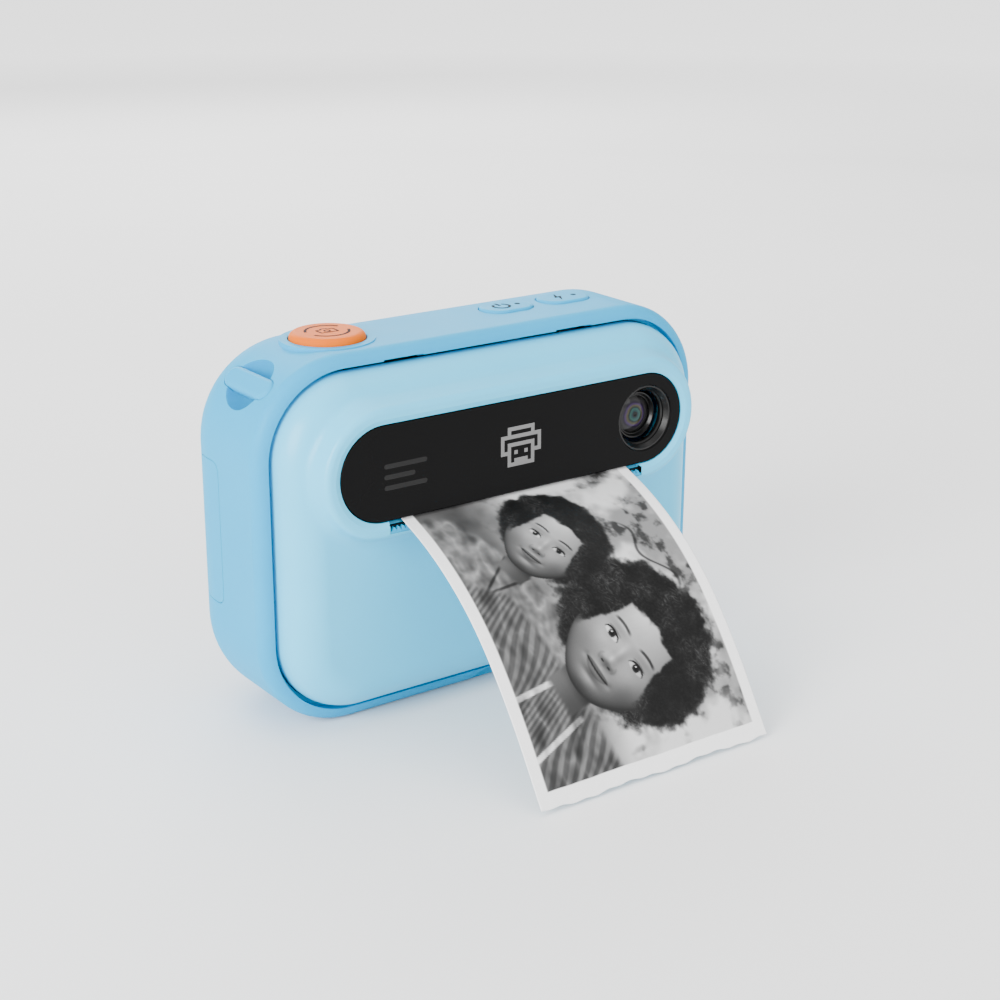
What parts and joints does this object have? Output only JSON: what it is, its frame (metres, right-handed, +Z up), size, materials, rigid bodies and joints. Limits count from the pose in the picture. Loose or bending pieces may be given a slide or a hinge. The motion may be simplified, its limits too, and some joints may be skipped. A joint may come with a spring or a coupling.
{
  "type": "instant print camera",
  "caption": "Rounded light blue children's camera with a hinged front over a thermal printer, a lens in a black panel and a print hanging from its slot.",
  "frame": {"origin": "centre of the flat underside of the housing, on the rest plane", "axes": "+Z up, -Y the way the lens and the paper slot face, +X to the right as seen from the front"},
  "size_m": [0.111, 0.0892, 0.079],
  "materials": {
    "shell": "light blue moulded shell, satin gloss",
    "cover_shell": "light blue moulded cover, satin gloss",
    "rear_shell": "light blue moulded rear cover, satin gloss",
    "strap_bar": "light blue moulded bar",
    "shutter": "peach moulded button with an engraved icon",
    "top_keys": "light blue button with an engraved icon",
    "rear_keys": "off-white key caps",
    "panel": "glossy black panel",
    "bezel": "black stepped lens ring",
    "lens_glass": "coated lens glass",
    "comb": "moulded tear teeth",
    "pin_steel": "steel pins and shafts",
    "chassis": "black moulded printer frame",
    "head_ceramic": "thermal print head",
    "alloy": "cast aluminium head plate",
    "motor_can": "stepper motor can",
    "platen_rubber": "platen rubber",
    "gears": "white acetal gears and spindle",
    "thermal_paper": "white thermal paper",
    "printed_paper": "thermal paper with a grey print",
    "core": "card tube",
    "circuit_board": "green circuit board",
    "display_glass": "display window",
    "display_unit": "display module",
    "speaker_unit": "small speaker",
    "battery_wrap": "wrapped lithium cell"
  },
  "bodies": {
    "camera_body": {"middle_housing": "shell", "rear_cover": "rear_shell", "display_window": "display_glass", "display": "display_unit", "case_screws": "pin_steel", "strap_bar_left": "strap_bar", "strap_bar_right": "strap_bar", "top_board": "circuit_board", "top_switches": "circuit_board", "printer_chassis": "chassis", "idler_axle": "pin_steel", "feed_motor": "motor_can", "main_board": "circuit_board", "board_screws": "pin_steel", "shield_can": "alloy", "key_domes": "circuit_board", "speaker": "speaker_unit", "port_board": "circuit_board", "charging_socket": "motor_can", "card_socket": "motor_can", "battery": "battery_wrap", "lens_barrel": "bezel", "lens_front": "lens_glass", "lens_iris": "bezel", "lens_rear": "lens_glass", "lens_holder": "chassis", "image_sensor": "circuit_board", "camera_board": "circuit_board", "paper_web": "thermal_paper", "print_head": "head_ceramic", "head_plate": "alloy", "head_springs": "pin_steel"},
    "cover": {"front_cover": "cover_shell", "front_panel": "panel", "lens_bezel": "bezel", "tear_comb": "comb", "hinge_pins": "pin_steel", "latch_tab": "shell"},
    "print": {"paper_strip": "printed_paper"},
    "platen": {"platen_roller": "platen_rubber", "platen_shaft": "pin_steel", "platen_gear": "gears"},
    "idler": {"idler_gear": "gears"},
    "pinion": {"motor_pinion": "gears", "motor_shaft": "pin_steel"},
    "roll": {"paper_roll": "thermal_paper", "roll_core": "core", "roll_spindle": "gears"},
    "shutter": {"shutter_button": "shutter"},
    "power": {"power_button": "top_keys"},
    "flash": {"flash_button": "top_keys"},
    "port_flap": {"port_cover": "shell"},
    "key_up_cap": {"key_up": "rear_keys"},
    "key_down_cap": {"key_down": "rear_keys"},
    "key_left_cap": {"key_left": "rear_keys"},
    "key_right_cap": {"key_right": "rear_keys"},
    "key_ok_cap": {"key_ok": "rear_keys"},
    "key_menu_cap": {"key_menu": "rear_keys"},
    "key_print_cap": {"key_print": "rear_keys"}
  },
  "joints": [
    {"name": "front_cover_hinge", "type": "hinge", "parent": "camera_body", "child": "cover", "pos_m": [0, -0.0099, 0.0661], "axis": [-1, 0, 0], "range_deg": [0, 55]},
    {"name": "paper_feed", "type": "slide", "parent": "cover", "child": "print", "axis": [0, -0.9336, -0.3584], "range_m": [-0.006, 0]},
    {"name": "platen_spin", "type": "hinge", "parent": "camera_body", "child": "platen", "pos_m": [0, -0.00074, 0.04776], "axis": [1, 0, 0], "continuous": true},
    {"name": "idler_spin", "type": "hinge", "parent": "camera_body", "child": "idler", "pos_m": [-0.0347, 0.00268, 0.03501], "axis": [1, 0, 0], "continuous": true},
    {"name": "pinion_spin", "type": "hinge", "parent": "camera_body", "child": "pinion", "pos_m": [-0.0347, -0.00163, 0.02576], "axis": [1, 0, 0], "continuous": true},
    {"name": "roll_spin", "type": "hinge", "parent": "camera_body", "child": "roll", "pos_m": [0, -0.0016, 0.0197], "axis": [1, 0, 0], "continuous": true},
    {"name": "shutter_press", "type": "slide", "parent": "camera_body", "child": "shutter", "axis": [0, 0, -1], "range_m": [0, 0.001], "stiffness_N_per_m": 500, "springref_m": -0.0002},
    {"name": "power_press", "type": "slide", "parent": "camera_body", "child": "power", "axis": [0, 0, -1], "range_m": [0, 0.0007], "stiffness_N_per_m": 500, "springref_m": -0.0002},
    {"name": "flash_press", "type": "slide", "parent": "camera_body", "child": "flash", "axis": [0, 0, -1], "range_m": [0, 0.0007], "stiffness_N_per_m": 500, "springref_m": -0.0002},
    {"name": "port_cover_hinge", "type": "hinge", "parent": "camera_body", "child": "port_flap", "pos_m": [-0.05458, 0.0132, 0.03985], "axis": [0, 0, -1], "range_deg": [0, 100]},
    {"name": "key_up_press", "type": "slide", "parent": "camera_body", "child": "key_up_cap", "axis": [0, -1, 0], "range_m": [0, 0.0004], "stiffness_N_per_m": 450, "springref_m": -0.0002},
    {"name": "key_down_press", "type": "slide", "parent": "camera_body", "child": "key_down_cap", "axis": [0, -1, 0], "range_m": [0, 0.0004], "stiffness_N_per_m": 450, "springref_m": -0.0002},
    {"name": "key_left_press", "type": "slide", "parent": "camera_body", "child": "key_left_cap", "axis": [0, -1, 0], "range_m": [0, 0.0004], "stiffness_N_per_m": 450, "springref_m": -0.0002},
    {"name": "key_right_press", "type": "slide", "parent": "camera_body", "child": "key_right_cap", "axis": [0, -1, 0], "range_m": [0, 0.0004], "stiffness_N_per_m": 450, "springref_m": -0.0002},
    {"name": "key_ok_press", "type": "slide", "parent": "camera_body", "child": "key_ok_cap", "axis": [0, -1, 0], "range_m": [0, 0.0004], "stiffness_N_per_m": 450, "springref_m": -0.0002},
    {"name": "key_menu_press", "type": "slide", "parent": "camera_body", "child": "key_menu_cap", "axis": [0, -1, 0], "range_m": [0, 0.0004], "stiffness_N_per_m": 450, "springref_m": -0.0002},
    {"name": "key_print_press", "type": "slide", "parent": "camera_body", "child": "key_print_cap", "axis": [0, -1, 0], "range_m": [0, 0.0004], "stiffness_N_per_m": 450, "springref_m": -0.0002}
  ],
  "couplings": [
    {"joint": "platen_spin", "follows": "paper_feed", "rad_per_m": 222.22},
    {"joint": "idler_spin", "follows": "paper_feed", "rad_per_m": -185.19},
    {"joint": "pinion_spin", "follows": "paper_feed", "rad_per_m": 444.44},
    {"joint": "roll_spin", "follows": "paper_feed", "rad_per_m": 81.967}
  ]
}
